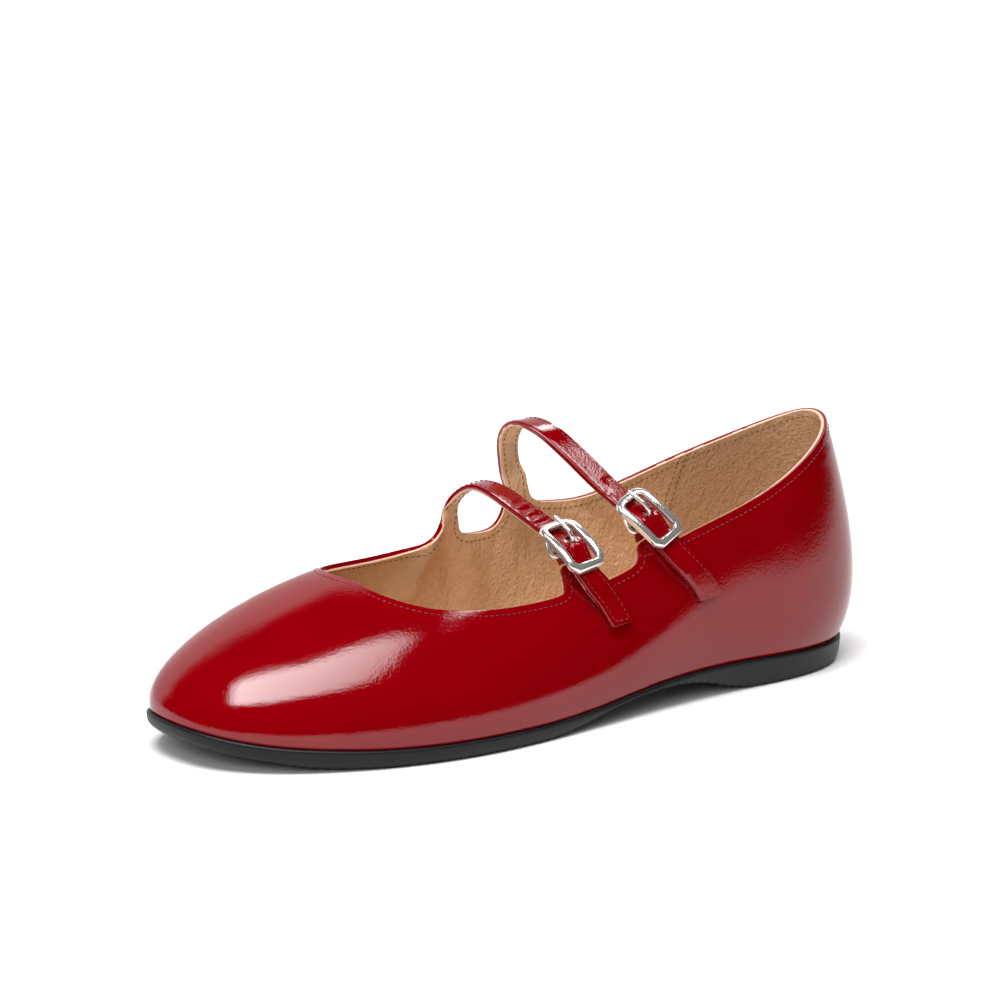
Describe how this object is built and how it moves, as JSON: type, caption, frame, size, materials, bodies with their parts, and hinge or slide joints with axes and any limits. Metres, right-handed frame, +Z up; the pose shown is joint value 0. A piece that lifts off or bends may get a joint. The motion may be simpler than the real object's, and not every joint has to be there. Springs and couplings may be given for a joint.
{
  "type": "mary jane shoe",
  "caption": "Low mary jane shoe in glossy red leather: square-round toe, buckled straps over the instep and a thin sole with a low heel.",
  "frame": {"origin": "on the floor under the middle of the shoe", "axes": "+Z up, -Y towards the toe, +X towards the outer side of the left foot"},
  "size_m": [0.0848, 0.2456, 0.0847],
  "materials": {
    "patent": "deep red patent leather, glossy, slightly grained",
    "lining": "tan leather, matt to satin, fine grain",
    "sole": "black rubber, satin",
    "metal": "polished silver-coloured metal"
  },
  "bodies": {
    "root": {"outsole": "sole", "upper": "patent", "insole": "lining", "front_strap": "patent", "front_buckle": "metal", "front_prong": "metal", "front_buckle_loop": "patent", "rear_strap": "patent", "rear_buckle": "metal", "rear_prong": "metal", "rear_buckle_loop": "patent"}
  },
  "joints": []
}
